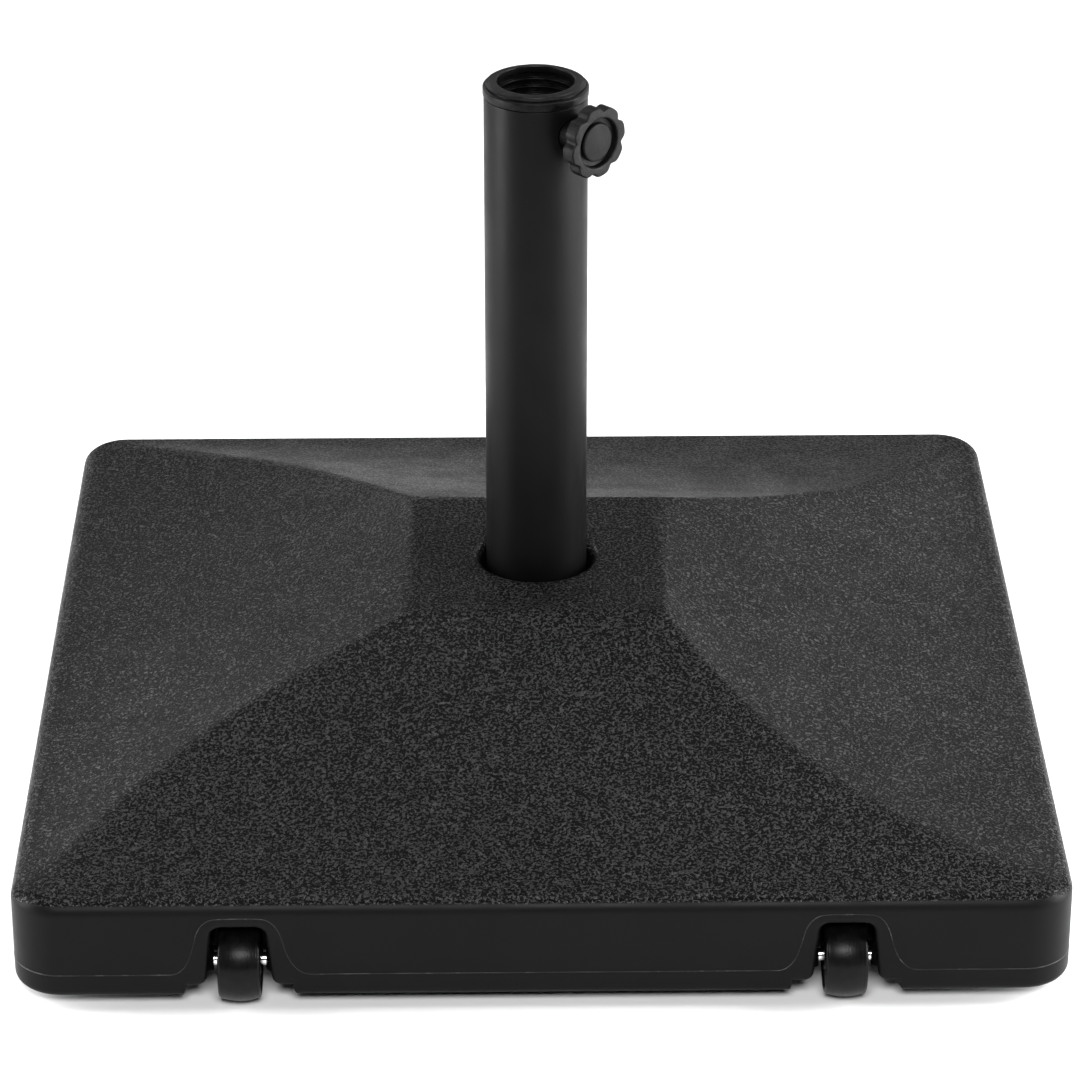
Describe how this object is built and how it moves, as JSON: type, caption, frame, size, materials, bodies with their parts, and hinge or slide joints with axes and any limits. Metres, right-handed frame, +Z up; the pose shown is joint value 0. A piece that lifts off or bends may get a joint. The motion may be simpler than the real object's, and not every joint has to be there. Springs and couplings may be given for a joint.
{
  "type": "parasol base",
  "caption": "Square rolling parasol base with a swirled hip-roof ballast shell, upright steel tube, ribbed bush and fluted clamp knob.",
  "frame": {"origin": "on the floor, at the middle of the footprint; the tube's axis stands at y = +3.6 mm, because the rollers stand 7.2 mm proud of the front face", "axes": "+Z up along the tube; -Y is the side with the rollers; +X to the right when looking along +Y"},
  "size_m": [0.5, 0.5072, 0.37],
  "materials": {
    "shell": "black polyethylene, grained top and smooth sides",
    "ballast": "cast concrete",
    "plug": "black polyethylene",
    "tube": "satin black powder coat",
    "zinc": "zinc plated",
    "bush": "black moulded plastic",
    "knob": "black moulded plastic, light wear",
    "roller": "black moulded plastic with a mould line",
    "axle": "bright drawn steel",
    "foot": "black rubber"
  },
  "bodies": {
    "root": {"base_shell": "shell", "concrete_core": "ballast", "filler_plug": "plug", "pole_tube": "tube", "tube_foot_plate": "zinc", "anchor_bolt": "zinc", "anchor_nut": "zinc", "anchor_washer": "zinc", "anchor_lock_washer": "zinc", "reducer_bush": "bush", "clamp_nut": "tube", "axle_left": "axle", "axle_right": "axle", "foot_front_left": "foot", "foot_front_right": "foot", "foot_rear_left": "foot", "foot_rear_right": "foot"},
    "pad": {"pressure_pad": "bush"},
    "knob": {"clamp_knob": "knob", "knob_cap": "knob", "clamp_screw": "zinc"},
    "roller_left": {"wheel_left": "roller"},
    "roller_right": {"wheel_right": "roller"}
  },
  "joints": [
    {"name": "screw_travel", "type": "slide", "parent": "root", "child": "pad", "axis": [0.6921, -0.7218, 0], "range_m": [-0.0045, 0.00125]},
    {"name": "knob_turn", "type": "hinge", "parent": "pad", "child": "knob", "pos_m": [0.02409, -0.02152, 0.3498], "axis": [0.6921, -0.7218, 0], "range_deg": [-1297, 361]},
    {"name": "wheel_left_spin", "type": "hinge", "parent": "root", "child": "roller_left", "pos_m": [-0.1426, -0.2336, 0.0212], "axis": [1, 0, 0], "continuous": true},
    {"name": "wheel_right_spin", "type": "hinge", "parent": "root", "child": "roller_right", "pos_m": [0.1426, -0.2336, 0.0212], "axis": [1, 0, 0], "continuous": true}
  ],
  "couplings": [
    {"joint": "knob_turn", "follows": "screw_travel", "rad_per_m": 5026.5}
  ]
}
